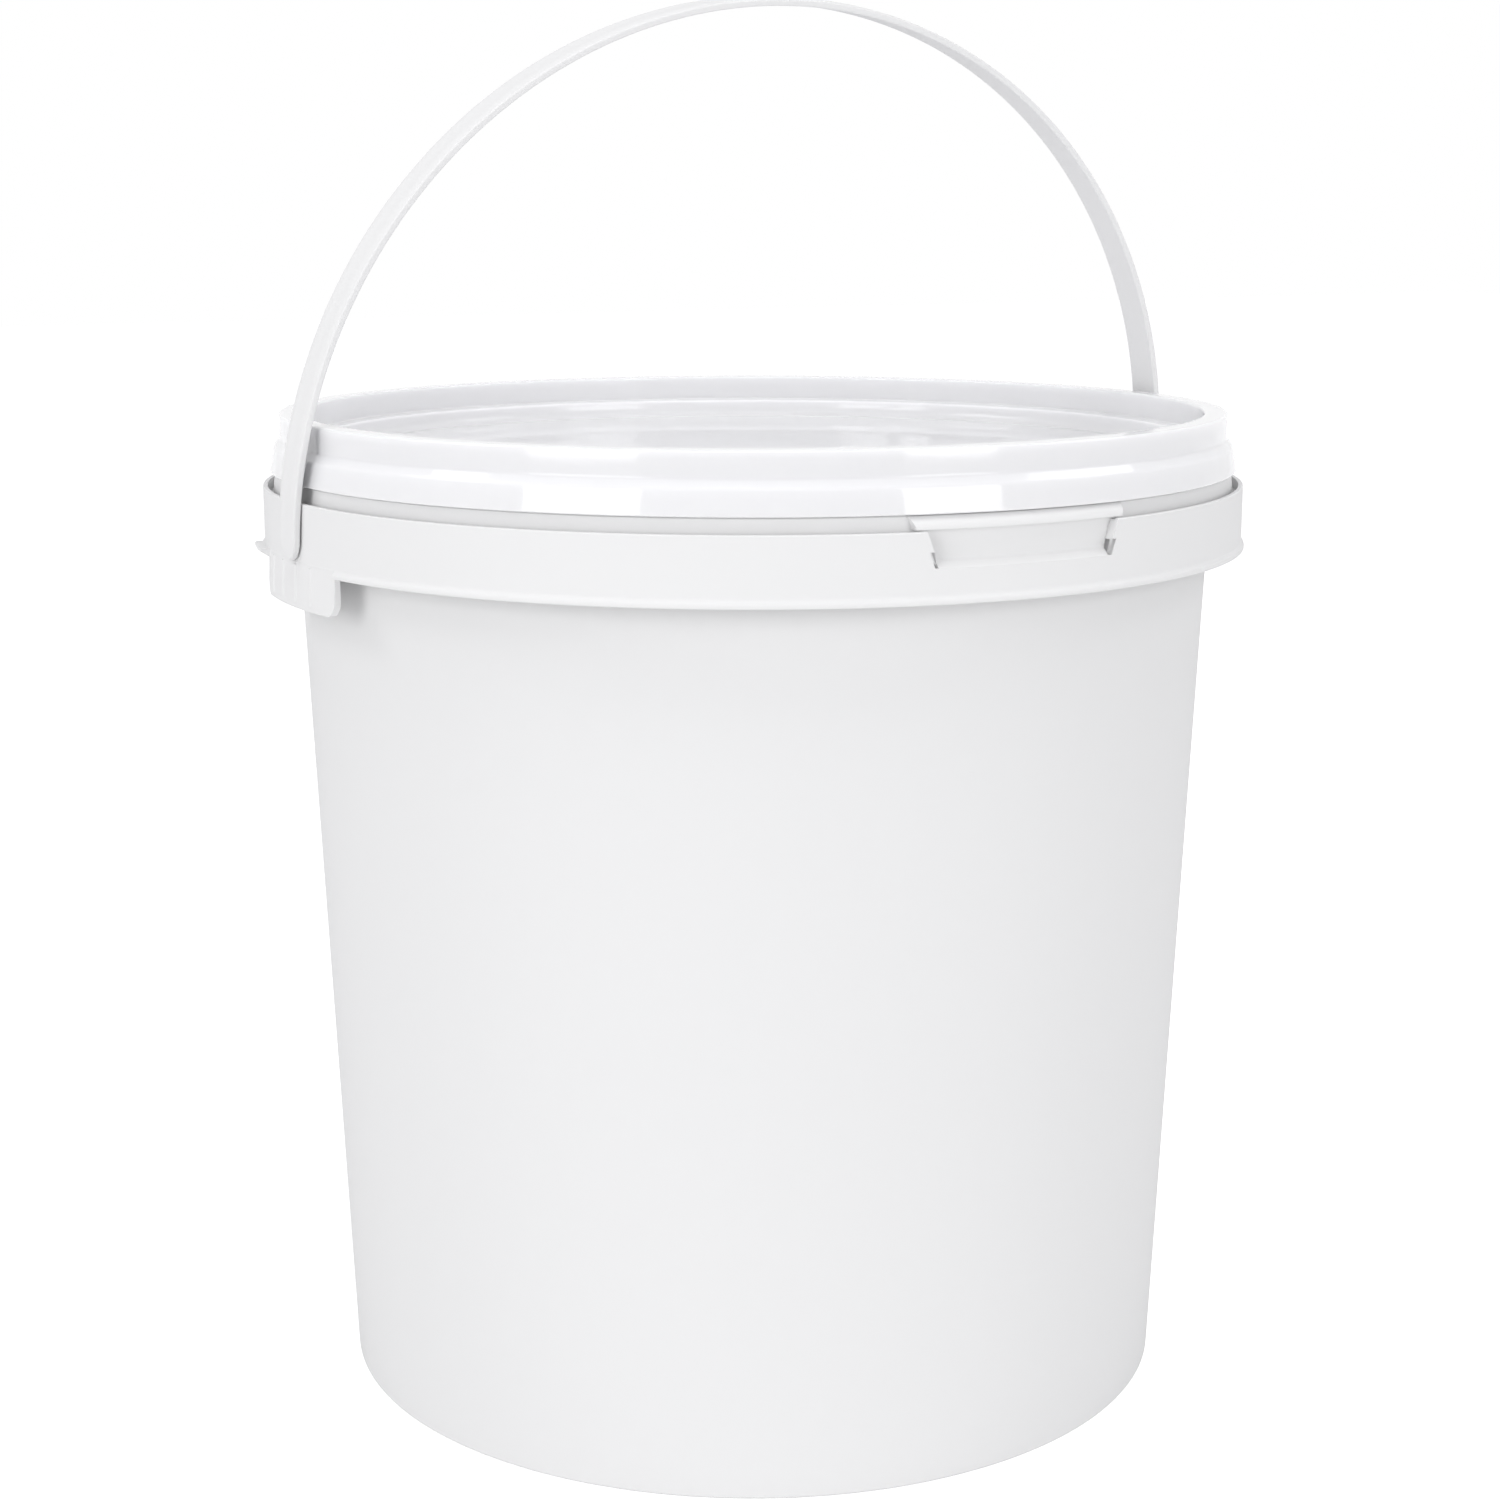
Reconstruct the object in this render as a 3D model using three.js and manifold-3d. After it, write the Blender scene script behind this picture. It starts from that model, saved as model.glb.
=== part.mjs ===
// Round white polypropylene pail with its press-on lid and a plastic strap handle.
// Millimetres, +Z up. The origin is on the floor at the centre of the base.
// X is the handle's pivot axis, and the pry tab in the collar faces -Y.
import * as THREE from "three";
import { mergeVertices } from "three/addons/utils/BufferGeometryUtils.js";
import Module from "manifold-3d";

const wasm = await Module();
wasm.setup();

// Round faces
const turnSteps = 72; // facets round the axis
const pinSteps = 24; // facets round a pin or a hole
const edgeSteps = 3; // facets of a rounded edge
const weld = 0.3; // how far joined solids reach into each other
const overcut = 1.0; // how far a cutting solid stands clear of what it cuts

// Container wall and base
const baseRadius = 114.0; // outside of the wall at the floor
const wallDraft = 2.37; // degrees
const wallThickness = 1.5;
const baseThickness = 1.8;
const footHeight = 4.0;
const footWidth = 3.0;
const baseEdge = 0.6; // small bevel round the bottom
const floorFillet = 4.0; // inside, where the wall meets the base

// Neck and rim, hidden in the lid
const neckStep = 0.72; // how far the neck stands out of the wall's line at the collar's edge
const neckThickness = 1.6;
const rimTop = 263.2;
const rimBead = 1.1; // how far the snap bead stands out of the neck
const rimBeadHeight = 2.9;
const rimRound = 0.6;

// Collar, the skirt that stiffens the mouth and carries the handle
const collarReach = 7.6; // from the neck's face out to the collar's face
const collarThickness = 1.3;
const collarDrop = 17.1; // from the rim down to the collar's free edge
const collarHeight = 16.9;
const collarBevel = 0.3;
const collarBead = 0.8;
const collarBeadHeight = 1.8;
const shelfSlope = 45; // degrees
const grooveWidth = 1.6; // narrow groove between the shelf and the collar's free edge
const grooveDepth = 3.1;
const shelfThickness = 1.6;

// Pry tab in the collar
const tabTopWidth = 54.0;
const tabBottomWidth = 48.0;
const tabHeight = 8.5;
const tabWall = 1.2;
const tabLip = 1.7; // how far the lip above the tab stands out of its panel
const tabLipRise = 0.4; // the lip's lower edge, above the collar's free edge
const tabLipEdge = 0.5; // height of the lip's upright edge
const tabLipRound = 1.6;
const tabLipTurn = 60; // degrees from upright, where the round ends
const tabLipGap = 0.9; // between the lip and the lid above it
const tabLipOver = 2.0; // how far the lip is wider than the window on each side
const tabSlotWidth = 1.1;
const tabSlotHeight = 3.8;
const tabLedgeRise = 1.6; // the ledge below the panel slopes out and down

// Ears, where the collar hangs deeper round each pivot
const earWidth = 50.0;
const earDrop = 9.9; // below the collar's lower edge
const earCorner = 2.5;
const earFlare = 0.5;
const earRibCount = 5;
const earRibPitch = 9.8;
const earRibWidth = 1.2;
const earRibProud = 0.3;
const earRibRunout = 1.0;

// Rest for the handle on the rear side of each ear
const restProud = 2.8; // beyond the collar's face
const restWidth = 18.0;
const restTilt = 15.0; // degrees round the axis behind the pivot
const restTip = 0.5;

// Handle: a flat strap on short straight legs
const pivotDrop = 9.1; // from the collar's free edge down to the pivot
const strapWidth = 11.0;
const strapThickness = 2.1;
const strapBevel = 0.4;
const strapGap = 0.4; // between the strap and the collar's face
const legLength = 2.0;
const archHeight = 132.0; // inside, above the legs
const archSteps = 56;
const handleLean = 7.0; // degrees from upright, towards the tab
const pinRadius = 3.0;
const pinGap = 0.3;
const headRadius = 3.9;
const headNose = 0.6; // how far the head tapers below the pin's radius
const headLength = 2.0;
const headGap = 0.5; // between the snap head and the inside of the collar

// Lid
const lidThickness = 1.4;
const lidTopThickness = 1.5;
const lidGap = 0.3; // between the lid and the rim, above and inside
const skirtGap = 0.5; // between the lid's skirt and the rim's bead
const skirtBand = 6.6; // height of the upper band
const skirtShoulder = 2.2; // height of the sloping shoulder
const skirtStep = 1.6; // how far the shoulder steps out
const skirtFlare = 1.2;
const skirtEdge = 3.8; // above the collar's free edge
const lidBevel = 0.35;
const lidRound = 0.7;
const plugHeight = 6.8; // the lid's inner wall, down to its step
const plugStep = 3.1; // width of the step
const plugStepFall = 0.6; // the step slopes down towards the panel
const panelDepth = 12.0; // below the lid's top
const panelFillet = 3.0;
const snapBead = 1.0; // stands in from the lid's skirt, under the rim's bead
const snapBeadHeight = 2.6;

// Finish
const bucketPlastic = new THREE.MeshStandardMaterial({ color: 0xebebee, roughness: 0.42, metalness: 0 });
const lidPlastic = new THREE.MeshStandardMaterial({ color: 0xe9e9ed, roughness: 0.14, metalness: 0 });
const handlePlastic = new THREE.MeshStandardMaterial({ color: 0xe8e8ed, roughness: 0.38, metalness: 0 });

const degrees = Math.PI / 180;
const wallRadius = (z) => baseRadius + z * Math.tan(wallDraft * degrees);
const collarTop = rimTop - collarDrop;
const neckRadius = wallRadius(collarTop) + neckStep; // outside
const collarRadius = neckRadius + collarReach; // outside
const collarInside = collarRadius - collarThickness;
const collarFoot = collarTop - collarHeight;
const shelfRadius = collarInside - grooveWidth;
const shelfRise = Math.tan(shelfSlope * degrees);
const neckFoot = collarTop + (shelfRadius - neckRadius) * shelfRise;
const pivotHeight = collarTop - pivotDrop;
const neckInside = neckRadius - neckThickness;
const rimRadius = neckRadius + rimBead;

// A closed mesh as a solid that can be joined and cut
function solid(geometry) {
  const bare = new THREE.BufferGeometry();
  bare.setAttribute("position", geometry.getAttribute("position"));
  if (geometry.index) bare.setIndex(geometry.index);
  const merged = mergeVertices(bare, 1e-4);
  const triangles = [];
  const index = merged.index.array;
  for (let i = 0; i < index.length; i += 3) {
    const [a, b, c] = [index[i], index[i + 1], index[i + 2]];
    if (a !== b && b !== c && c !== a) triangles.push(a, b, c);
  }
  return new wasm.Manifold(new wasm.Mesh({
    numProp: 3,
    vertProperties: new Float32Array(merged.getAttribute("position").array),
    triVerts: new Uint32Array(triangles),
  }));
}

function namedMesh(shape, name, material) {
  const data = shape.getMesh();
  const geometry = new THREE.BufferGeometry();
  geometry.setAttribute("position", new THREE.BufferAttribute(new Float32Array(data.vertProperties), 3));
  geometry.setIndex(new THREE.BufferAttribute(new Uint32Array(data.triVerts), 1));
  geometry.computeVertexNormals();
  const mesh = new THREE.Mesh(geometry, material);
  mesh.name = name;
  return mesh;
}

// A turned solid from its half section, listed as [radius, height] anticlockwise
function turned(section, steps = turnSteps) {
  const closed = section[0][0] === 0 ? section : [...section, section[0]];
  const points = closed.map(([radius, height]) => new THREE.Vector2(radius, height));
  return solid(new THREE.LatheGeometry(points, steps).rotateX(Math.PI / 2));
}

// A straight-sided block that looks out of the pail at the given angle from -Y towards +X.
// The outline is listed as [across, height], and the block reaches from the axis side outwards.
function block(outline, angle) {
  const shape = new THREE.Shape(outline.map(([across, height]) => new THREE.Vector2(across, height)));
  const inner = baseRadius - footWidth;
  const depth = collarRadius + restProud + strapThickness - inner;
  const geometry = new THREE.ExtrudeGeometry(shape, { depth, bevelEnabled: false });
  return solid(geometry.rotateX(Math.PI / 2).translate(0, -inner, 0).rotateZ(angle * degrees));
}

const rectangle = (width, bottom, top) => [
  [-width / 2, bottom], [width / 2, bottom], [width / 2, top], [-width / 2, top],
];

// The points of a round corner between two angles, in degrees
function corner(x, y, radius, from, to) {
  const points = [];
  for (let i = 0; i <= edgeSteps; i += 1) {
    const angle = (from + ((to - from) * i) / edgeSteps) * degrees;
    points.push([x + radius * Math.cos(angle), y + radius * Math.sin(angle)]);
  }
  return points;
}

// Container: wall, base, neck, shelf and collar are one turned section
function bucketSection() {
  const floor = footHeight + baseThickness;
  const insideCorner = wallRadius(floor + floorFillet) - wallThickness;
  const grooveFloor = collarTop - grooveDepth;
  const shelfUnder = grooveFloor - shelfThickness;
  const shelfTurn = shelfRadius - shelfThickness * Math.tan((shelfSlope / 2) * degrees);
  const wallTop = shelfUnder + (shelfTurn - wallRadius(neckFoot - 2 * shelfThickness)) * shelfRise;
  return [
    [0, footHeight],
    [baseRadius - footWidth, footHeight],
    [baseRadius - footWidth, 0],
    [baseRadius - baseEdge, 0],
    [wallRadius(baseEdge), baseEdge],
    [wallRadius(wallTop), wallTop],
    [shelfTurn, shelfUnder],
    [collarInside, shelfUnder],
    [collarInside, collarFoot],
    [collarRadius + collarBead - collarBevel, collarFoot],
    [collarRadius + collarBead, collarFoot + collarBevel],
    [collarRadius + collarBead, collarFoot + collarBeadHeight - collarBead],
    [collarRadius, collarFoot + collarBeadHeight],
    [collarRadius, collarTop - collarBevel],
    [collarRadius - collarBevel, collarTop],
    [collarInside, collarTop],
    [collarInside, grooveFloor],
    [shelfRadius, grooveFloor],
    [shelfRadius, collarTop],
    [neckRadius, neckFoot],
    [neckRadius, rimTop - rimBeadHeight - rimBead],
    [rimRadius, rimTop - rimBeadHeight],
    [rimRadius, rimTop - rimRound],
    [rimRadius - rimRound, rimTop],
    [neckInside + rimRound, rimTop],
    [neckInside, rimTop - rimRound],
    [neckInside, neckFoot - shelfThickness],
    [wallRadius(collarTop) - wallThickness, collarTop],
    ...corner(insideCorner - floorFillet, floor + floorFillet, floorFillet, 0, -90),
    [0, floor],
  ];
}

// Pry tab: the collar is set back behind a window with slanted sides, under a lip
function addTab(bucket) {
  const bottom = collarTop - tabHeight;
  const spread = (tabTopWidth - tabBottomWidth) / 2 / tabHeight; // how the sides slant
  const window = (grow, low, high) => {
    const half = (z) => tabBottomWidth / 2 + (z - bottom) * spread + grow;
    return block([[-half(low), low], [half(low), low], [half(high), high], [-half(high), high]], 0);
  };
  const outside = collarRadius + collarBead + overcut;
  const above = collarTop + overcut;
  const panelBack = shelfRadius - tabWall;
  const grooveFloor = collarTop - grooveDepth;
  const cut = turned([[shelfRadius, bottom], [outside, bottom], [outside, above], [shelfRadius, above]]);
  const lipFoot = collarTop + tabLipRise;
  const lipTop = collarTop + skirtEdge - tabLipGap;
  const panel = turned([
    [panelBack, bottom - tabLedgeRise],
    [collarRadius - collarBevel, bottom - tabLedgeRise],
    [collarRadius - collarBevel, bottom],
    [shelfRadius, bottom + tabLedgeRise],
    [shelfRadius, lipFoot + weld],
    [panelBack, lipFoot + weld],
  ]);
  const lip = turned([
    [panelBack, lipFoot],
    [shelfRadius + tabLip, lipFoot],
    ...corner(shelfRadius + tabLip - tabLipRound, lipFoot + tabLipEdge, tabLipRound, 0, tabLipTurn),
    [shelfRadius - (lipTop - collarTop) / shelfRise - weld, lipTop],
  ]);
  const bridgeFoot = bottom + tabSlotHeight - weld;
  const bridges = turned([
    [panelBack, bridgeFoot], [collarInside + weld, bridgeFoot],
    [collarInside + weld, collarTop - weld], [panelBack, collarTop - weld],
  ]);
  const slots = turned([
    [panelBack - overcut, bottom], [outside, bottom], [outside, bottom + tabSlotHeight],
    [panelBack - overcut, bottom + tabSlotHeight],
  ]);
  const open = window(0, bottom, above);
  return bucket
    .subtract(cut.intersect(open))
    .add(panel.intersect(window(tabSlotWidth / 2, bottom - tabLedgeRise, above)))
    .subtract(slots.intersect(window(tabSlotWidth, bottom, above)).subtract(open))
    .add(bridges.intersect(window(tabSlotWidth + weld, bottom, above)).subtract(open))
    .add(lip.intersect(window(tabLipOver, collarTop, lipTop + overcut)));
}

// Ear: the collar hangs deeper here, with ribs outside, a hole for the pin and a rest behind
function addEar(bucket, side) {
  const angle = side * 90;
  const foot = collarFoot - earDrop;
  const beadTop = collarFoot + collarBeadHeight;
  const outline = [
    ...corner(-earWidth / 2 + earCorner, foot + earCorner, earCorner, 180, 270),
    ...corner(earWidth / 2 - earCorner, foot + earCorner, earCorner, 270, 360),
    [earWidth / 2, beadTop],
    [-earWidth / 2, beadTop],
  ];
  const skirt = turned([
    [collarInside, foot], [collarRadius + earFlare, foot], [collarRadius, beadTop],
    [collarInside, beadTop],
  ]);
  const outside = collarRadius + collarBead + overcut;
  const bead = turned([
    [collarRadius, collarFoot - overcut], [outside, collarFoot - overcut],
    [outside, beadTop], [collarRadius, beadTop],
  ]);
  let ear = bucket
    .subtract(bead.intersect(block(rectangle(earWidth, collarFoot - overcut, beadTop), angle)))
    .add(skirt.intersect(block(outline, angle)));
  const ribRadius = collarRadius + earFlare + earRibProud;
  const ribTop = pivotHeight - strapWidth / 2 - 2 * pinGap;
  const rib = turned([
    [collarInside + weld, foot + earCorner], [ribRadius - earRibProud, foot + earCorner],
    [ribRadius, foot + earCorner + earRibProud], [ribRadius, ribTop - earRibRunout],
    [collarRadius, ribTop], [collarInside + weld, ribTop],
  ]);
  for (let i = 0; i < earRibCount; i += 1) {
    const across = (i - (earRibCount - 1) / 2) * earRibPitch;
    const upright = rectangle(earRibWidth, foot + earCorner - overcut, ribTop + overcut);
    ear = ear.add(rib.intersect(block(upright.map(([x, z]) => [x + across, z]), angle)));
  }
  const holeRadius = pinRadius + pinGap;
  const holeLength = collarThickness + 2 * grooveWidth;
  const hole = new THREE.CylinderGeometry(holeRadius, holeRadius, holeLength, pinSteps);
  const holeMiddle = side * (collarRadius - collarThickness / 2);
  ear = ear.subtract(solid(hole.rotateZ(Math.PI / 2).translate(holeMiddle, 0, pivotHeight)));
  const restTop = pivotHeight - strapWidth / 2 - pinGap;
  const rest = turned([
    [collarInside + weld, collarFoot], [collarRadius + collarBead - collarBevel, collarFoot],
    [collarRadius + restProud, restTop - restTip], [collarRadius + restProud - restTip, restTop],
    [collarInside + weld, restTop],
  ]);
  return ear.add(rest.intersect(
    block(rectangle(restWidth, collarFoot - overcut, restTop + overcut), side * (90 + restTilt))));
}

let bucketShape = turned(bucketSection());
bucketShape = addTab(bucketShape);
bucketShape = addEar(bucketShape, -1);
bucketShape = addEar(bucketShape, 1);

// Lid: an inverted channel over the rim, with a flat panel set down inside it
const lidUnder = rimTop + lidGap;
const lidTop = lidUnder + lidTopThickness;
const plugRadius = neckInside - lidGap; // outside of the inner wall
const plugInside = plugRadius - lidThickness;
const panelRadius = plugInside - plugStep;
const skirtRadius = rimRadius + skirtGap + lidThickness;
const skirtFoot = collarTop + skirtEdge;

function lidSection() {
  const shoulderTop = lidTop - skirtBand;
  const shoulderFoot = shoulderTop - skirtShoulder;
  const footRadius = skirtRadius + skirtStep + skirtFlare;
  const panelTop = lidTop - panelDepth;
  const stepHeight = lidTop - plugHeight;
  const inner = skirtRadius - lidThickness;
  const beadTop = rimTop - rimBeadHeight - rimBead - lidGap;
  return [
    [0, panelTop - lidThickness],
    [panelRadius - panelFillet, panelTop - lidThickness],
    [panelRadius + lidThickness, panelTop + panelFillet - lidThickness],
    [panelRadius + lidThickness, stepHeight - lidThickness],
    [plugRadius, stepHeight - lidThickness],
    [plugRadius, lidUnder],
    [inner, lidUnder],
    [inner, beadTop + snapBead / 2],
    [inner - snapBead, beadTop - snapBead / 2],
    [inner - snapBead, beadTop - snapBeadHeight + snapBead],
    [inner + skirtStep, shoulderFoot - lidThickness],
    [footRadius - lidThickness, skirtFoot],
    [footRadius - lidBevel, skirtFoot],
    [footRadius, skirtFoot + lidBevel],
    [skirtRadius + skirtStep, shoulderFoot],
    [skirtRadius, shoulderTop],
    ...corner(skirtRadius - lidRound, lidTop - lidRound, lidRound, 0, 90),
    ...corner(plugInside + lidRound, lidTop - lidRound, lidRound, 90, 180),
    [plugInside, stepHeight],
    [panelRadius, stepHeight - plugStepFall],
    ...corner(panelRadius - panelFillet, panelTop + panelFillet, panelFillet, 0, -90),
    [0, panelTop],
  ];
}
const lidShape = turned(lidSection());

// Handle: the strap is an arch cut from a band, with a round end and a snap pin on each side
function handleShape() {
  const inner = collarRadius + strapGap;
  const arch = (out) => {
    const points = [];
    for (let i = 0; i <= archSteps; i += 1) {
      const angle = (Math.PI * i) / archSteps;
      points.push([(inner + out) * Math.cos(angle), legLength + (archHeight + out) * Math.sin(angle)]);
    }
    return [[inner + out, 0], ...points, [-inner - out, 0]];
  };
  const outline = [...arch(strapThickness - strapBevel), ...arch(strapBevel).reverse()];
  const shape = new THREE.Shape(outline.map(([x, z]) => new THREE.Vector2(x, z)));
  const band = new THREE.ExtrudeGeometry(shape, {
    depth: strapWidth - 2 * strapBevel,
    bevelThickness: strapBevel,
    bevelSize: strapBevel,
    bevelSegments: 1,
  });
  let handle = solid(band.rotateX(Math.PI / 2).translate(0, strapWidth / 2 - strapBevel, 0));
  // Below the pivot the strap ends in a half round
  const trim = new THREE.BoxGeometry(4 * inner, 2 * strapWidth, strapWidth).translate(0, 0, -strapWidth / 2);
  handle = handle.subtract(solid(trim));
  const radius = strapWidth / 2;
  const headOuter = collarInside - headGap - inner;
  for (const side of [-1, 1]) {
    const end = turned([
      [0, 0], [radius - strapBevel, 0], [radius, strapBevel], [radius, strapThickness - strapBevel],
      [radius - strapBevel, strapThickness], [0, strapThickness],
    ], pinSteps);
    const pin = turned([
      [0, headOuter - headLength], [pinRadius - headNose, headOuter - headLength],
      [headRadius, headOuter - headLength / 3], [headRadius, headOuter], [pinRadius, headOuter],
      [pinRadius, strapThickness / 2], [0, strapThickness / 2],
    ], pinSteps);
    handle = handle.add(end.add(pin).rotate([0, side * 90, 0]).translate([side * inner, 0, 0]));
  }
  return handle;
}

const pail = new THREE.Group();
pail.add(namedMesh(bucketShape, "bucket", bucketPlastic));
pail.add(namedMesh(lidShape, "lid", lidPlastic));

const swing = new THREE.Group();
swing.position.set(0, 0, pivotHeight);
swing.rotation.x = handleLean * degrees;
swing.add(namedMesh(handleShape(), "handle", handlePlastic));
pail.add(swing);

export default pail;
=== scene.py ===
import math

import bmesh
import bpy
from mathutils import Matrix, Vector


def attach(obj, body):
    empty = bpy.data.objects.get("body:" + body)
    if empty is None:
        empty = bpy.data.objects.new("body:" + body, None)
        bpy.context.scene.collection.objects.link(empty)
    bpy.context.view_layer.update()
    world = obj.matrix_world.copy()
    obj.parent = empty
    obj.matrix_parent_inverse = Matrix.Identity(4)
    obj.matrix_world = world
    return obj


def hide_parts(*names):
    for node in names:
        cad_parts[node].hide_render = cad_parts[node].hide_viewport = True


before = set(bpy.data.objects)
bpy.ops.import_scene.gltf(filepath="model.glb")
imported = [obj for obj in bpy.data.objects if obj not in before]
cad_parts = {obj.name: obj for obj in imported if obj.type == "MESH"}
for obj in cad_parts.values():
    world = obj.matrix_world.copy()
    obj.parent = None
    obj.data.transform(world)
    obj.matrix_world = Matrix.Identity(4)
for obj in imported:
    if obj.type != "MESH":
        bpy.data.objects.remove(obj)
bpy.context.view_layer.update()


# Camera
# A long lens a little above the lid, to the left of the pry tab, as the photograph was taken.
# Distances are from the pail's axis and from the floor, in metres.
CAMERA_AZIMUTH = math.radians(-29.3)
CAMERA_SIDEWAYS = -0.0008
CAMERA_DISTANCE = 0.7407
CAMERA_HEIGHT = 0.3225
CAMERA_PITCH = math.radians(11.7)
camera_data = bpy.data.cameras.new("camera")
camera_data.sensor_width = 36.0
camera_data.lens = 64.75
camera = bpy.data.objects.new("camera", camera_data)
bpy.context.scene.collection.objects.link(camera)
camera.location = (Matrix.Rotation(CAMERA_AZIMUTH, 4, "Z")
                   @ Vector((CAMERA_SIDEWAYS, -CAMERA_DISTANCE, CAMERA_HEIGHT)))
camera.rotation_euler = (math.radians(90) - CAMERA_PITCH, 0, CAMERA_AZIMUTH)
bpy.context.scene.camera = camera


# Bucket
# One injection moulding in white polypropylene: a tapered wall on a foot ring, a neck that the lid
# hides, and a collar that stiffens the mouth. The collar's section is turned with the wall's.
MM = 0.001
TURN_STEPS = 240
CORNER_STEPS = 4
MERGE = 1e-6
BLOCK_INSIDE = 111.0
BLOCK_OUTSIDE = 138.0
BLOCK_CORNER_STEPS = 6
CREASE = math.radians(32.0)
FLAT_WEIGHT = 80
WALL = 1.5
BASE_RADIUS = 114.0
DRAFT = math.tan(math.radians(2.37))
FLOOR = 5.8
FLOOR_ROUND = 4.0
FOOT = 4.0
FOOT_RING = 3.0
COLLAR_RADIUS = 132.5
COLLAR_INSIDE = 131.2
COLLAR_TOP = 246.1
COLLAR_FOOT = 229.2
BEAD_RADIUS = 133.3
BEAD_HEIGHT = 1.2
BEAD_TOP = COLLAR_FOOT + 2.0
SHELF = 1.6
SHELF_RADIUS = 129.6
GROOVE_FLOOR = 243.0
NECK_RADIUS = 124.9
NECK_INSIDE = 123.3
SHOULDER_RADIUS = 129.2
SHOULDER_TOP = 249.8
NECK_FOOT = COLLAR_TOP + SHELF_RADIUS - NECK_RADIUS
RIM_RADIUS = 126.0
RIM_TOP = 263.2
RIM_UNDER = RIM_TOP - 2.9
RIM_FOOT = RIM_TOP - 4.0


def wall_radius(height):
    return BASE_RADIUS + height * DRAFT


def turned(outline, steps=TURN_STEPS, pivot="Z"):
    """Spins a half section, listed as radius, height and corner rounding in mm, round an axis."""
    mesh = bmesh.new()
    corners = [mesh.verts.new((radius * MM, 0, height * MM)) for radius, height, _ in outline]
    mesh.faces.new(corners)
    for rounding in sorted({point[2] for point in outline if point[2]}):
        chosen = [corner for corner, point in zip(corners, outline) if point[2] == rounding]
        bmesh.ops.bevel(
            mesh, geom=chosen, offset=rounding * MM, offset_type="OFFSET",
            segments=CORNER_STEPS, profile=0.5, affect="VERTICES", material=-1)
    bmesh.ops.delete(mesh, geom=mesh.faces[:], context="FACES_ONLY")
    edges = [edge for edge in mesh.edges if max(abs(v.co.x) for v in edge.verts) > MERGE / 10]
    bmesh.ops.spin(
        mesh, geom=edges, cent=(0, 0, 0), axis=(0, 0, 1), dvec=(0, 0, 0),
        angle=math.tau, steps=steps, use_merge=True)
    bmesh.ops.remove_doubles(mesh, verts=mesh.verts[:], dist=MERGE)
    loose = [edge for edge in mesh.edges if not edge.link_faces]
    bmesh.ops.delete(mesh, geom=loose, context="EDGES")
    if pivot == "X":
        bmesh.ops.rotate(
            mesh, verts=mesh.verts[:], matrix=Matrix.Rotation(math.radians(90), 3, "Y"))
    bmesh.ops.recalc_face_normals(mesh, faces=mesh.faces[:])
    return mesh


def block(outline, angle, rounded=(), rounding=0.0):
    """A straight block that looks out of the pail at an angle from -Y, drawn across and up."""
    mesh = bmesh.new()
    corners = [mesh.verts.new((across * MM, -BLOCK_INSIDE * MM, height * MM))
               for across, height in outline]
    mesh.faces.new(corners)
    if rounded:
        bmesh.ops.bevel(
            mesh, geom=[corners[i] for i in rounded], offset=rounding * MM, offset_type="OFFSET",
            segments=BLOCK_CORNER_STEPS, profile=0.5, affect="VERTICES", material=-1)
    out = bmesh.ops.extrude_face_region(mesh, geom=mesh.faces[:])["geom"]
    moved = [item for item in out if isinstance(item, bmesh.types.BMVert)]
    bmesh.ops.translate(mesh, verts=moved, vec=(0, (BLOCK_INSIDE - BLOCK_OUTSIDE) * MM, 0))
    bmesh.ops.rotate(
        mesh, verts=mesh.verts[:], matrix=Matrix.Rotation(math.radians(angle), 3, "Z"))
    bmesh.ops.recalc_face_normals(mesh, faces=mesh.faces[:])
    return mesh


def piece(mesh, name):
    data = bpy.data.meshes.new(name)
    mesh.to_mesh(data)
    mesh.free()
    made = bpy.data.objects.new(name, data)
    bpy.context.scene.collection.objects.link(made)
    return made


def settle(made):
    """Turns a piece's modifiers into its mesh."""
    shown = made.evaluated_get(bpy.context.evaluated_depsgraph_get())
    data = bpy.data.meshes.new_from_object(shown)
    made.modifiers.clear()
    made.data = data


def joined(made, other, how="UNION"):
    """Adds, cuts or crosses one closed mesh with another, which it uses up."""
    cutter = other if isinstance(other, bpy.types.Object) else piece(other, "cutter")
    work = made.modifiers.new("work", "BOOLEAN")
    work.operation = how
    work.solver = "MANIFOLD"
    work.object = cutter
    settle(made)
    bpy.data.objects.remove(cutter)
    return made


def shaded(made):
    """Smooth faces, with a crease kept at each sharp edge, and large flat faces kept flat."""
    mesh = bmesh.new()
    mesh.from_mesh(made.data)
    for face in mesh.faces:
        face.smooth = True
    for edge in mesh.edges:
        edge.smooth = len(edge.link_faces) == 2 and edge.calc_face_angle(0.0) < CREASE
    mesh.to_mesh(made.data)
    mesh.free()
    flat = made.modifiers.new("flat_faces_stay_flat", "WEIGHTED_NORMAL")
    flat.mode = "FACE_AREA"
    flat.weight = FLAT_WEIGHT
    flat.keep_sharp = True


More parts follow.
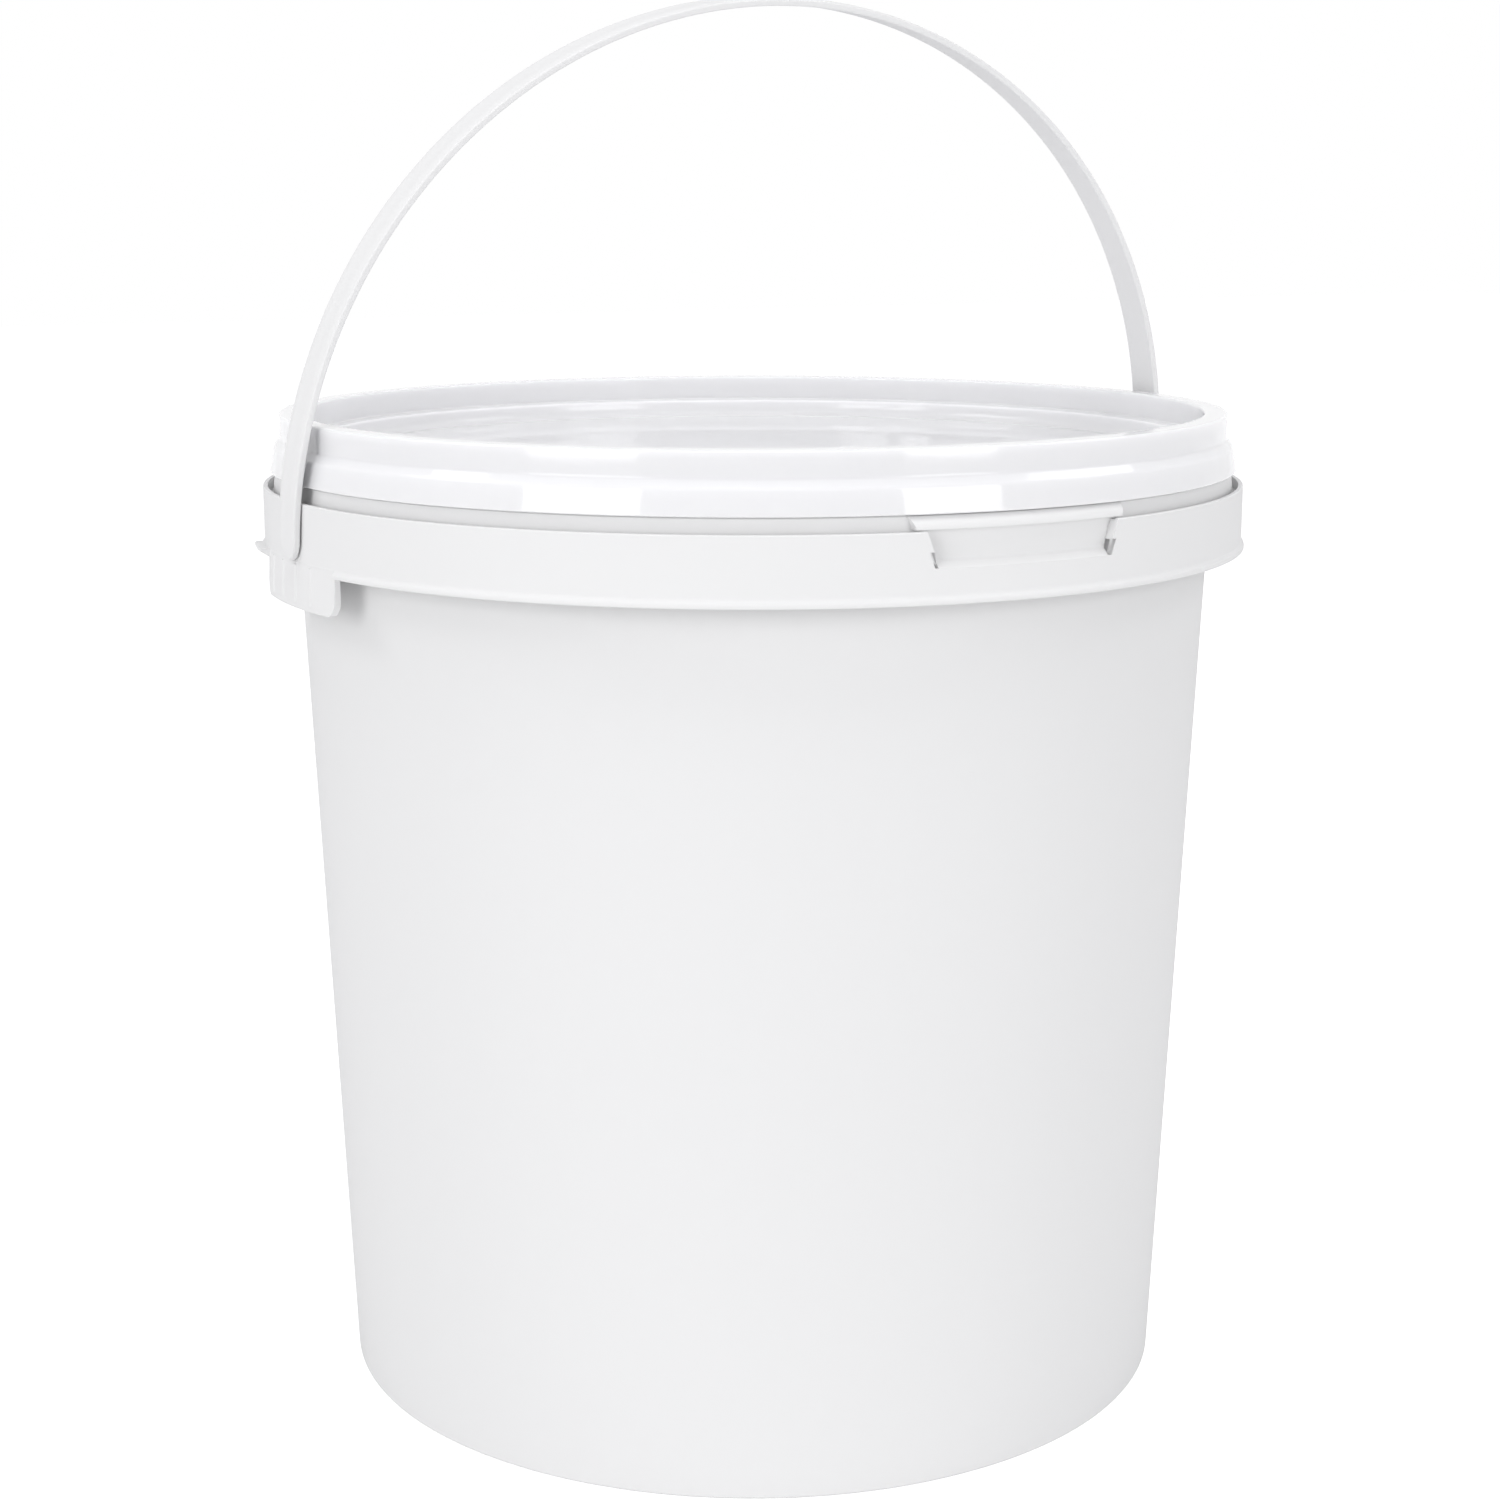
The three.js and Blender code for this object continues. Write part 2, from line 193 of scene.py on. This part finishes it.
# The shelf runs out under the groove with the same thickness as the slope that it comes from.
shelf_turn = SHELF_RADIUS - SHELF * math.tan(math.radians(22.5))
shelf_under = GROOVE_FLOOR - SHELF
wall_top = shelf_under + shelf_turn - wall_radius(NECK_FOOT - 2 * SHELF)
bucket = piece(turned([
    (0, FOOT, 0), (BASE_RADIUS - FOOT_RING, FOOT, 0.8), (BASE_RADIUS - FOOT_RING, 0, 0.3),
    (wall_radius(0), 0, 0.8), (wall_radius(wall_top), wall_top, 1.0),
    (shelf_turn, shelf_under, 0.6), (COLLAR_INSIDE, shelf_under, 0.6),
    (COLLAR_INSIDE, COLLAR_FOOT, 0.2), (BEAD_RADIUS, COLLAR_FOOT, 0.4),
    (BEAD_RADIUS, COLLAR_FOOT + BEAD_HEIGHT, 0.4), (COLLAR_RADIUS, BEAD_TOP, 0.4),
    (COLLAR_RADIUS, COLLAR_TOP, 0.35), (COLLAR_INSIDE, COLLAR_TOP, 0.2),
    (COLLAR_INSIDE, GROOVE_FLOOR, 0.3), (SHELF_RADIUS, GROOVE_FLOOR, 0.3),
    (SHELF_RADIUS, COLLAR_TOP, 0.4), (SHOULDER_RADIUS, SHOULDER_TOP, 0.5),
    (NECK_RADIUS, NECK_FOOT, 0.8), (NECK_RADIUS, RIM_FOOT, 0.2), (RIM_RADIUS, RIM_UNDER, 0.3),
    (RIM_RADIUS, RIM_TOP, 0.6), (NECK_INSIDE, RIM_TOP, 0.6), (NECK_INSIDE, NECK_FOOT - SHELF, 0.5),
    (wall_radius(COLLAR_TOP) - WALL, COLLAR_TOP, 0.5),
    (wall_radius(FLOOR) - WALL, FLOOR, FLOOR_ROUND), (0, FLOOR, 0)]), "bucket_moulding")


# Pry tab
# The collar is set back behind a window with slanted sides, under a rounded lip, with a shallow
# slit at the foot of each side, so that the tab can be torn out before the lid is first lifted.
TAB_HEIGHT = 8.5
TAB_FOOT = COLLAR_TOP - TAB_HEIGHT
TAB_HALF = 24.0
TAB_SLANT = 3.0 / TAB_HEIGHT
TAB_BACK = SHELF_RADIUS - 1.2
LEDGE = 1.6
LEDGE_RADIUS = COLLAR_RADIUS - 0.3
LIP_RADIUS = SHELF_RADIUS + 2.0
LIP_FOOT = COLLAR_TOP + 0.4
LIP_EDGE = LIP_FOOT + 1.3
LIP_TOP = COLLAR_TOP + 3.7
LIP_OVER = 2.0
PANEL_TOP = LIP_FOOT + 0.3
SLIT = 1.1
SLIT_TOP = TAB_FOOT + 3.8
SLIT_BACK = SHELF_RADIUS - 0.4
BRIDGE_RADIUS = 131.5
BRIDGE_FOOT = SLIT_TOP - 0.2
BRIDGE_TOP = COLLAR_TOP - 0.3
BRIDGE_OVER = 0.3
CLEAR = 134.5
ABOVE = COLLAR_TOP + 1.0


def tab_block(grow, low, high=ABOVE):
    """A block with the window's slanted sides, grown by so much on each."""
    at_low = TAB_HALF + grow + (low - TAB_FOOT) * TAB_SLANT
    at_high = TAB_HALF + grow + (high - TAB_FOOT) * TAB_SLANT
    return block([(-at_low, low), (at_low, low), (at_high, high), (-at_high, high)], 0)


window = piece(turned([
    (SHELF_RADIUS, TAB_FOOT, 0), (CLEAR, TAB_FOOT, 0), (CLEAR, ABOVE, 0),
    (SHELF_RADIUS, ABOVE, 0)]), "window")
joined(bucket, joined(window, tab_block(0, TAB_FOOT), "INTERSECT"), "DIFFERENCE")
panel = piece(turned([
    (TAB_BACK, TAB_FOOT - LEDGE, 0), (LEDGE_RADIUS, TAB_FOOT - LEDGE, 0),
    (LEDGE_RADIUS, TAB_FOOT, 0.2), (SHELF_RADIUS, TAB_FOOT + LEDGE, 0.5),
    (SHELF_RADIUS, PANEL_TOP, 0), (TAB_BACK, PANEL_TOP, 0)]), "panel")
joined(bucket, joined(panel, tab_block(SLIT / 2, TAB_FOOT - LEDGE), "INTERSECT"))
slits = piece(turned([
    (SLIT_BACK, TAB_FOOT, 0), (CLEAR, TAB_FOOT, 0), (CLEAR, SLIT_TOP, 0),
    (SLIT_BACK, SLIT_TOP, 0)]), "slits")
joined(slits, tab_block(SLIT, TAB_FOOT), "INTERSECT")
joined(bucket, joined(slits, tab_block(0, TAB_FOOT - 1), "DIFFERENCE"), "DIFFERENCE")
bridges = piece(turned([
    (TAB_BACK, BRIDGE_FOOT, 0), (BRIDGE_RADIUS, BRIDGE_FOOT, 0), (BRIDGE_RADIUS, BRIDGE_TOP, 0),
    (TAB_BACK, BRIDGE_TOP, 0)]), "bridges")
joined(bridges, tab_block(SLIT + BRIDGE_OVER, TAB_FOOT), "INTERSECT")
joined(bucket, joined(bridges, tab_block(0, TAB_FOOT - 1, ABOVE + 1), "DIFFERENCE"))
lip = piece(turned([
    (TAB_BACK, LIP_FOOT, 0), (LIP_RADIUS, LIP_FOOT, 0.15), (LIP_RADIUS, LIP_EDGE, 0.9),
    (SHELF_RADIUS - 0.3, LIP_TOP, 0.6), (SHELF_RADIUS - 2.0, LIP_TOP, 0)]), "lip")
joined(bucket, joined(lip, tab_block(LIP_OVER, COLLAR_TOP, LIP_TOP + 1), "INTERSECT"))


# Ears
# The collar hangs deeper round each pivot, a little further to the rear, with low upright ribs
# outside, a hole for the handle's pin, and to the rear a small pointed rest for the handle.
EAR_FRONT = 22.8
EAR_REAR = 27.2
EAR_ROUND = 4.2
EAR_FOOT = COLLAR_FOOT - 9.9
EAR_FLARE = 0.5
PIVOT = 237.0
PIN_STEPS = 48
RIB_COUNTS = range(-2, 2)
RIB_PITCH = 9.8
RIB_ROUND = 1.7
RIB_SEAT = 0.25
RIB_PROUD = 0.34
RIB_LEAN = math.radians(2.3)
RIB_STEPS = 40
RIB_FOOT = EAR_FOOT + 1.5
RIB_TOP = COLLAR_FOOT + 1.2
HOLE = 3.3
HOLE_INSIDE = 129.6
HOLE_OUTSIDE = 134.1
STRAP_HALF = 5.5
REST_TOP = PIVOT - STRAP_HALF - 0.3
REST_INSIDE = 131.5
REST_TIP = 135.3
REST_HALF = 9.0
REST_ANGLE = 105
BELOW = COLLAR_FOOT - 1
for side in (-1, 1):
    angle = side * 90
    left, right = (EAR_REAR, EAR_FRONT) if side < 0 else (EAR_FRONT, EAR_REAR)
    bead = piece(turned([
        (COLLAR_RADIUS, BELOW, 0), (CLEAR, BELOW, 0), (CLEAR, BEAD_TOP, 0),
        (COLLAR_RADIUS, BEAD_TOP, 0)]), "bead")
    across = [(-left, BELOW), (right, BELOW), (right, BEAD_TOP), (-left, BEAD_TOP)]
    joined(bucket, joined(bead, block(across, angle), "INTERSECT"), "DIFFERENCE")
    skirt = piece(turned([
        (COLLAR_INSIDE, EAR_FOOT, 0.3), (COLLAR_RADIUS + EAR_FLARE, EAR_FOOT, 0.4),
        (COLLAR_RADIUS, BEAD_TOP, 0), (COLLAR_INSIDE, BEAD_TOP, 0)]), "skirt")
    ear = block([(-left, EAR_FOOT), (right, EAR_FOOT), (right, BEAD_TOP), (-left, BEAD_TOP)],
                angle, rounded=(0, 1), rounding=EAR_ROUND)
    joined(bucket, joined(skirt, ear, "INTERSECT"))
    for count in RIB_COUNTS:
        rib = bmesh.new()
        bmesh.ops.create_cone(
            rib, cap_ends=True, segments=RIB_STEPS, radius1=RIB_ROUND * MM,
            radius2=RIB_ROUND * MM, depth=(RIB_TOP - RIB_FOOT) * MM)
        bmesh.ops.rotate(rib, verts=rib.verts[:], matrix=Matrix.Rotation(-RIB_LEAN, 3, "X"))
        reach = COLLAR_RADIUS + RIB_SEAT + RIB_PROUD - RIB_ROUND
        bmesh.ops.translate(
            rib, verts=rib.verts[:], vec=(0, -reach * MM, (RIB_TOP + RIB_FOOT) / 2 * MM))
        around = math.radians(angle) - side * count * RIB_PITCH / COLLAR_RADIUS
        bmesh.ops.rotate(rib, verts=rib.verts[:], matrix=Matrix.Rotation(around, 3, "Z"))
        joined(bucket, rib)
    pin_hole = turned([
        (0, HOLE_INSIDE, 0), (HOLE, HOLE_INSIDE, 0), (HOLE, HOLE_OUTSIDE, 0),
        (0, HOLE_OUTSIDE, 0)], PIN_STEPS, "X")
    if side < 0:
        bmesh.ops.rotate(
            pin_hole, verts=pin_hole.verts[:], matrix=Matrix.Rotation(math.pi, 3, "Z"))
    bmesh.ops.translate(pin_hole, verts=pin_hole.verts[:], vec=(0, 0, PIVOT * MM))
    joined(bucket, pin_hole, "DIFFERENCE")
    rest = piece(turned([
        (REST_INSIDE, COLLAR_FOOT, 0), (BEAD_RADIUS - 0.3, COLLAR_FOOT, 0),
        (REST_TIP, REST_TOP - 0.5, 0.2), (REST_TIP - 0.5, REST_TOP, 0.2),
        (REST_INSIDE, REST_TOP, 0)]), "rest")
    ledge = [(-REST_HALF, BELOW), (REST_HALF, BELOW), (REST_HALF, REST_TOP + 1),
             (-REST_HALF, REST_TOP + 1)]
    joined(bucket, joined(rest, block(ledge, side * REST_ANGLE), "INTERSECT"))
shaded(bucket)


def colour(code):
    """A linear colour from its sRGB hex value."""
    parts = [int(code[i:i + 2], 16) / 255 for i in (1, 3, 5)]
    linear = [p / 12.92 if p <= 0.04045 else ((p + 0.055) / 1.055) ** 2.4 for p in parts]
    return (*linear, 1.0)


def add_node(tree, kind, values=(), links=(), **settings):
    made = tree.nodes.new(kind)
    for name, value in settings.items():
        setattr(made, name, value)
    for socket, value in dict(values).items():
        made.inputs[socket].default_value = value
    for socket, source in dict(links).items():
        tree.links.new(source, made.inputs[socket])
    return made


# Light goes about 2.5 mm into the plastic, and a colour drift is about 11 cm across, the slow
# waves about 45 mm. A tool's real grain is far too fine to show, so it is drawn 1 to 2 mm wide:
# grain is how many there are to a metre.
SCATTER = 2.5
SCATTER_WEIGHT = 0.85
POLYPROPYLENE_IOR = 1.49
DRIFTS = 9.0
WAVES = 22.0


def moulded(name, pale, shade, roughness, grain, wave_depth, grain_depth=0.0):
    """Injection-moulded white polypropylene: a fine grain from the tool, slow waves where the wall
    shrank, a faint drift of colour where the melt flowed, and light that spreads under the skin."""
    material = bpy.data.materials.new(name)
    material.use_nodes = True
    tree = material.node_tree
    tree.nodes.clear()
    place = add_node(tree, "ShaderNodeTexCoord").outputs["Object"]
    flow = add_node(tree, "ShaderNodeTexNoise", {"Scale": DRIFTS, "Detail": 3.0, "Roughness": 0.55},
                    {"Vector": place})
    drift = add_node(tree, "ShaderNodeMix", {"A": colour(pale), "B": colour(shade)},
                     {"Factor": flow.outputs["Fac"]}, data_type="RGBA")
    tool = add_node(tree, "ShaderNodeTexNoise", {"Scale": grain, "Detail": 2.0, "Roughness": 0.6},
                    {"Vector": place})
    satin = add_node(tree, "ShaderNodeMapRange",
                     {"To Min": roughness * 0.9, "To Max": roughness * 1.1},
                     {"Value": tool.outputs["Fac"]})
    waves = add_node(tree, "ShaderNodeTexNoise", {"Scale": WAVES, "Detail": 1.0}, {"Vector": place})
    skin = add_node(tree, "ShaderNodeBump", {"Strength": 1.0, "Distance": wave_depth * MM},
                    {"Height": waves.outputs["Fac"]})
    if grain_depth:
        skin = add_node(tree, "ShaderNodeBump", {"Strength": 1.0, "Distance": grain_depth * MM},
                        {"Height": tool.outputs["Fac"], "Normal": skin.outputs["Normal"]})
    surface = add_node(tree, "ShaderNodeBsdfPrincipled",
                       {"IOR": POLYPROPYLENE_IOR, "Metallic": 0.0,
                        "Subsurface Weight": SCATTER_WEIGHT, "Subsurface Radius": (1.0, 1.0, 1.0),
                        "Subsurface Scale": SCATTER * MM},
                       {"Base Color": drift.outputs["Result"], "Roughness": satin.outputs["Result"],
                        "Normal": skin.outputs["Normal"]})
    add_node(tree, "ShaderNodeOutputMaterial", (), {"Surface": surface.outputs["BSDF"]})
    return material


# White polypropylene from a lightly spark-eroded tool: satin, with wide soft highlights.
bucket.data.materials.append(moulded(
    "polypropylene_satin_moulded", "#F4F4F6", "#F1F1F3", roughness=0.42, grain=900,
    wave_depth=0.10, grain_depth=0.008))
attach(bucket, "pail")
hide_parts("bucket")


# Lid
# One moulding in the same plastic from a polished tool: an upside-down channel that snaps over the
# rim, with a stepped inner wall and a flat panel set down inside it.
LID_TOP = 265.0
LID_INSIDE = 121.6
BAND_RADIUS = 127.9
CHANNEL_INSIDE = 123.0
CHANNEL_OUTSIDE = 126.5
CHANNEL_ROOF = 263.5
CHANNEL_FOOT = 256.8
SNAP_RADIUS = 125.5
SKIRT_INSIDE = 129.3
SKIRT_OUTSIDE = 130.7
SKIRT_FOOT = 249.9
WELL_RADIUS = 118.5
WELL_OUTSIDE = 119.9
LID_PANEL = 253.0
LID_PANEL_UNDER = 251.6
lid = piece(turned([
    (0, LID_PANEL_UNDER, 0), (WELL_RADIUS - 2.5, LID_PANEL_UNDER, 1.5),
    (WELL_OUTSIDE, LID_PANEL + 1.0, 1.0), (WELL_OUTSIDE, CHANNEL_FOOT, 0.3),
    (CHANNEL_INSIDE, CHANNEL_FOOT, 0.5), (CHANNEL_INSIDE, CHANNEL_ROOF, 0.3),
    (CHANNEL_OUTSIDE, CHANNEL_ROOF, 0.3), (CHANNEL_OUTSIDE, 259.3, 0.2),
    (SNAP_RADIUS, 258.3, 0.3), (SNAP_RADIUS, 257.3, 0.3), (128.1, 254.8, 0.6),
    (SKIRT_INSIDE, SKIRT_FOOT, 0.3), (SKIRT_OUTSIDE, SKIRT_FOOT, 0.4), (129.5, 256.2, 0.5),
    (BAND_RADIUS, 258.4, 0.45), (BAND_RADIUS, LID_TOP, 0.7), (LID_INSIDE, LID_TOP, 0.7),
    (LID_INSIDE, 258.2, 0.5), (WELL_RADIUS, 257.6, 0.6), (WELL_RADIUS, LID_PANEL, 3.0),
    (0, LID_PANEL, 0)]), "lid_moulding")
shaded(lid)
# The polished tool leaves a mirror-like skin that shows crisp window shapes.
# Painted shade: the lid's colour is set a little darker than the bucket's, so that its bright gloss
# renders no paler than the collar.
lid.data.materials.append(moulded(
    "polypropylene_gloss_moulded", "#EEEEF0", "#EBEBED", roughness=0.045, grain=500,
    wave_depth=0.04))
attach(lid, "pail")
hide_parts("lid")


# Handle
# A flat strap moulded as an arch on short legs, with two soft raised lines along its outer face,
# half-round ends and an inward pin with a snap head at each end. It leans towards the tab.
STRAP_INSIDE = COLLAR_RADIUS + 0.4
STRAP = 2.1
STRAP_EDGE = 0.4
RIDGE = 2.6
RIDGE_WIDTH = 1.4
LEG = 2.0
ARCH = 132.0
ARCH_STEPS = 120
END_STEPS = 24
LEAN = math.radians(7.0)
HEAD_OUT = COLLAR_INSIDE - 0.5
HEAD_RADIUS = 3.9
HEAD_NOSE = 2.4
HEAD_LENGTH = 2.0
PIN_RADIUS = 3.0
half = [(0, 0), (STRAP_HALF, 0), (STRAP_HALF, STRAP - STRAP_EDGE),
        (RIDGE + RIDGE_WIDTH, STRAP - 0.08), (RIDGE, STRAP), (RIDGE - RIDGE_WIDTH, STRAP - 0.12),
        (0, STRAP - 0.14)]
section = half + [(-y, out) for y, out in reversed(half) if y]
mesh = bmesh.new()
corners = [mesh.verts.new(((STRAP_INSIDE + out) * MM, y * MM, 0)) for y, out in section]
mesh.faces.new(corners)
edges = [corner for corner, (y, _) in zip(corners, section) if abs(y) == STRAP_HALF]
bmesh.ops.bevel(mesh, geom=edges, offset=STRAP_EDGE * MM, offset_type="OFFSET",
                segments=CORNER_STEPS, profile=0.5, affect="VERTICES", material=-1)
bmesh.ops.delete(mesh, geom=mesh.faces[:], context="FACES_ONLY")
bmesh.ops.spin(mesh, geom=mesh.edges[:], cent=(0, 0, 0), axis=(0, -1, 0), dvec=(0, 0, 0),
               angle=math.pi, steps=ARCH_STEPS)
bmesh.ops.scale(mesh, verts=mesh.verts[:], vec=(1, 1, ARCH / STRAP_INSIDE))
bmesh.ops.translate(mesh, verts=mesh.verts[:], vec=(0, 0, LEG * MM))
ends = [edge for edge in mesh.edges if edge.is_boundary]
leg = bmesh.ops.extrude_edge_only(mesh, edges=ends)["geom"]
feet = [item for item in leg if isinstance(item, bmesh.types.BMVert)]
bmesh.ops.translate(mesh, verts=feet, vec=(0, 0, -LEG * MM))
for side in (-1, 1):
    rim = [edge for edge in mesh.edges if edge.is_boundary
           and all(v.co.x * side > 0 and v.co.y > -MERGE / 10 and abs(v.co.z) < MERGE
                   for v in edge.verts)]
    bmesh.ops.spin(mesh, geom=rim, cent=(0, 0, 0), axis=(-1, 0, 0), dvec=(0, 0, 0),
                   angle=math.pi, steps=END_STEPS)
bmesh.ops.remove_doubles(mesh, verts=mesh.verts[:], dist=2 * MERGE)
bmesh.ops.recalc_face_normals(mesh, faces=mesh.faces[:])
handle = piece(mesh, "handle_moulding")
for side in (-1, 1):
    pin = turned([
        (0, HEAD_OUT - HEAD_LENGTH, 0), (HEAD_NOSE, HEAD_OUT - HEAD_LENGTH, 0.3),
        (HEAD_RADIUS, HEAD_OUT - 0.7, 0.3), (HEAD_RADIUS, HEAD_OUT, 0.2),
        (PIN_RADIUS, HEAD_OUT, 0), (PIN_RADIUS, STRAP_INSIDE + 1.0, 0),
        (0, STRAP_INSIDE + 1.0, 0)], PIN_STEPS, "X")
    if side < 0:
        bmesh.ops.rotate(pin, verts=pin.verts[:], matrix=Matrix.Rotation(math.pi, 3, "Z"))
    joined(handle, pin)
placed = bmesh.new()
placed.from_mesh(handle.data)
bmesh.ops.rotate(placed, verts=placed.verts[:], matrix=Matrix.Rotation(LEAN, 3, "X"))
bmesh.ops.translate(placed, verts=placed.verts[:], vec=(0, 0, PIVOT * MM))
placed.to_mesh(handle.data)
placed.free()
shaded(handle)
# The strap's tool is between the two others in polish: a soft sheen along the arch.
handle.data.materials.append(moulded(
    "polypropylene_strap_moulded", "#F4F4F6", "#F1F1F3", roughness=0.32, grain=700,
    wave_depth=0.03))
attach(handle, "handle")
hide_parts("handle")


# Floor
# A seamless white paper sweep, so pale that only the soft shadow at the foot shows on it.
# For the camera it adds light of its own up to plain white, less the object's shadow.
FLOOR_HALF = 6.0
PAPER_GLOW = 0.64


def background_rays(tree):
    """1 for a ray that sees the background directly, in a mirror or through glass, otherwise 0."""
    rays = add_node(tree, "ShaderNodeLightPath")
    direct = add_node(tree, "ShaderNodeMath", (), {
        0: rays.outputs["Is Camera Ray"], 1: rays.outputs["Is Glossy Ray"]}, operation="MAXIMUM")
    seen = add_node(tree, "ShaderNodeMath", (), {
        0: direct.outputs[0], 1: rays.outputs["Is Transmission Ray"]}, operation="MAXIMUM")
    return seen.outputs[0]


floor_mesh = bmesh.new()
bmesh.ops.create_grid(floor_mesh, x_segments=1, y_segments=1, size=FLOOR_HALF)
floor = piece(floor_mesh, "floor")
paper = bpy.data.materials.new("white_paper_sweep")
paper.use_nodes = True
tree = paper.node_tree
tree.nodes.clear()
matt = add_node(tree, "ShaderNodeBsdfDiffuse", {"Color": colour("#F4F4F4")})
glow = add_node(tree, "ShaderNodeEmission", {"Strength": PAPER_GLOW})
both = add_node(tree, "ShaderNodeAddShader", (), {0: matt.outputs[0], 1: glow.outputs[0]})
shown = add_node(tree, "ShaderNodeMixShader", (), {
    0: background_rays(tree), 1: matt.outputs[0], 2: both.outputs[0]})
add_node(tree, "ShaderNodeOutputMaterial", (), {"Surface": shown.outputs[0]})
floor.data.materials.append(paper)


# Light
# A bright even room, white where it is seen directly or in the gloss, with two upright soft boxes
# in front, whose shapes show in the lid, two weak ones at the sides, and one overhead.
ROOM = 0.47
AIM_HEIGHT = 0.15
world = bpy.data.worlds.new("room")
bpy.context.scene.world = world
world.use_nodes = True
# An even room has no bright spot to aim rays at, so it is left to the bounced rays.
world.cycles.sampling_method = "NONE"
tree = world.node_tree
tree.nodes.clear()
room = add_node(tree, "ShaderNodeBackground", {"Color": colour("#FCFCFF"), "Strength": ROOM})
white = add_node(tree, "ShaderNodeBackground", {"Color": (1, 1, 1, 1), "Strength": 1.0})
mixed = add_node(tree, "ShaderNodeMixShader", (), {
    0: background_rays(tree), 1: room.outputs[0], 2: white.outputs[0]})
add_node(tree, "ShaderNodeOutputWorld", (), {"Surface": mixed.outputs[0]})
# Each box: name, azimuth in degrees from the camera's side, distance from the axis, height, width,
# tallness, all in metres, watts, and whether the gloss shows it.
for name, azimuth, distance, height, width, tall, watts, glossy in (
        ("soft_box_left", -38.5, 2.2, 0.66, 1.06, 1.2, 14.6, True),
        ("soft_box_right", 45.0, 2.2, 0.66, 0.9, 1.2, 11.7, True),
        ("side_box_left", -81.0, 1.6, 1.5, 0.8, 0.6, 4.5, True),
        ("side_box_right", 98.0, 1.6, 1.5, 0.8, 0.6, 4.0, True),
        ("top_fill", 0.0, 0.4, 2.2, 1.3, 1.2, 14.0, False)):
    data = bpy.data.lights.new(name, "AREA")
    data.shape = "RECTANGLE"
    data.size = width
    data.size_y = tall
    data.energy = watts
    lamp = bpy.data.objects.new(name, data)
    bpy.context.scene.collection.objects.link(lamp)
    around = CAMERA_AZIMUTH + math.radians(azimuth)
    lamp.location = Matrix.Rotation(around, 4, "Z") @ Vector((0, -distance, height))
    towards = Vector((0, 0, AIM_HEIGHT)) - lamp.location
    lamp.rotation_euler = towards.to_track_quat("-Z", "Y").to_euler()
    lamp.visible_glossy = glossy

bpy.context.scene.view_settings.view_transform = "Standard"
